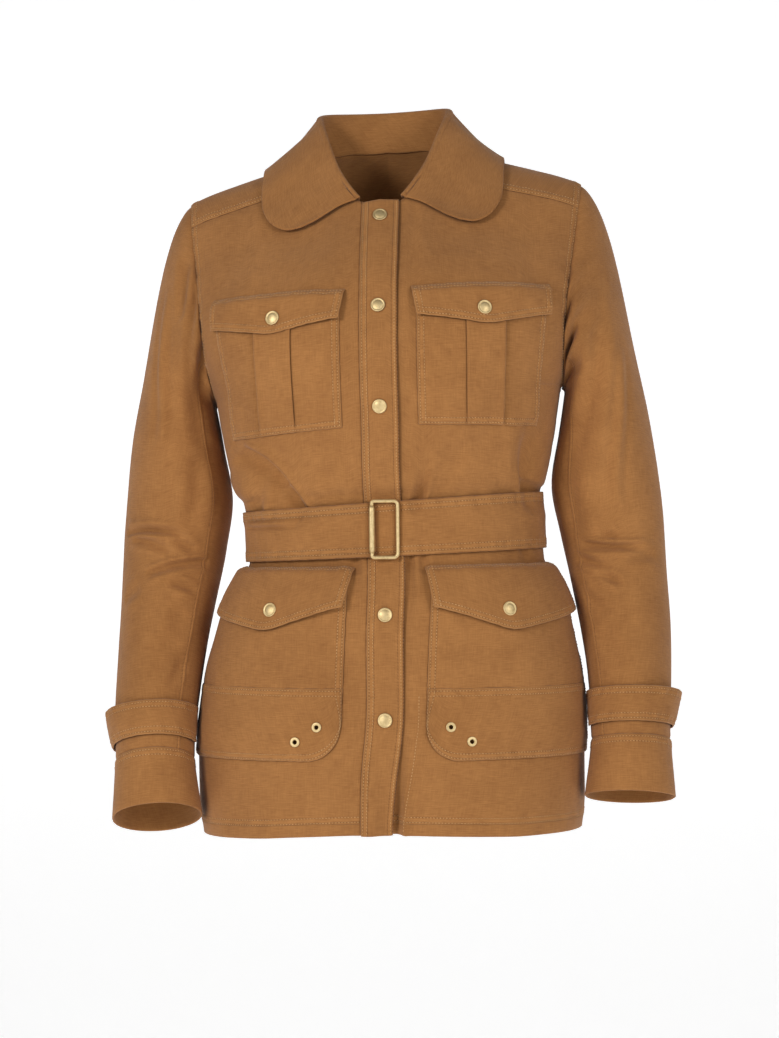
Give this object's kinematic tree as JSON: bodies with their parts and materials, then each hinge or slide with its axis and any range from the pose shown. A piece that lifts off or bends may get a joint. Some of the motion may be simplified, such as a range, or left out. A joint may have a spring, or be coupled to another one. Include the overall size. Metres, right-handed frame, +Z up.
{
  "type": "safari jacket",
  "caption": "Belted hip-length safari jacket in its worn shape, with rounded collar, snap placket, flapped chest and hip pockets and sleeve straps.",
  "frame": {"origin": "on the wearer's middle line, level with the sides of the neck, where the neck and shoulders carry the jacket", "axes": "+Z up, -Y to the wearer's front, +X to the wearer's left"},
  "size_m": [0.5855, 0.2745, 0.7484],
  "materials": {
    "cloth": "tobacco-brown cotton twill with tonal double topstitching",
    "brass": "pale satin brass"
  },
  "bodies": {
    "root": {"front_right": "cloth", "front_left": "cloth", "back": "cloth", "yoke": "cloth", "placket": "cloth", "collar": "cloth", "sleeve_upper_right": "cloth", "sleeve_under_right": "cloth", "cuff_right": "cloth", "sleeve_strap_right": "cloth", "chest_pocket_right": "cloth", "chest_flap_right": "cloth", "lower_pocket_right": "cloth", "pocket_base_right": "cloth", "lower_flap_right": "cloth", "snap_chest_right": "brass", "snap_lower_right": "brass", "eyelet_right_1": "brass", "eyelet_right_2": "brass", "sleeve_upper_left": "cloth", "sleeve_under_left": "cloth", "cuff_left": "cloth", "sleeve_strap_left": "cloth", "chest_pocket_left": "cloth", "chest_flap_left": "cloth", "lower_pocket_left": "cloth", "pocket_base_left": "cloth", "lower_flap_left": "cloth", "snap_chest_left": "brass", "snap_lower_left": "brass", "eyelet_left_1": "brass", "eyelet_left_2": "brass", "belt": "cloth", "buckle": "brass", "snap_front_1": "brass", "snap_front_2": "brass", "snap_front_3": "brass", "snap_front_4": "brass", "snap_front_5": "brass"}
  },
  "joints": []
}
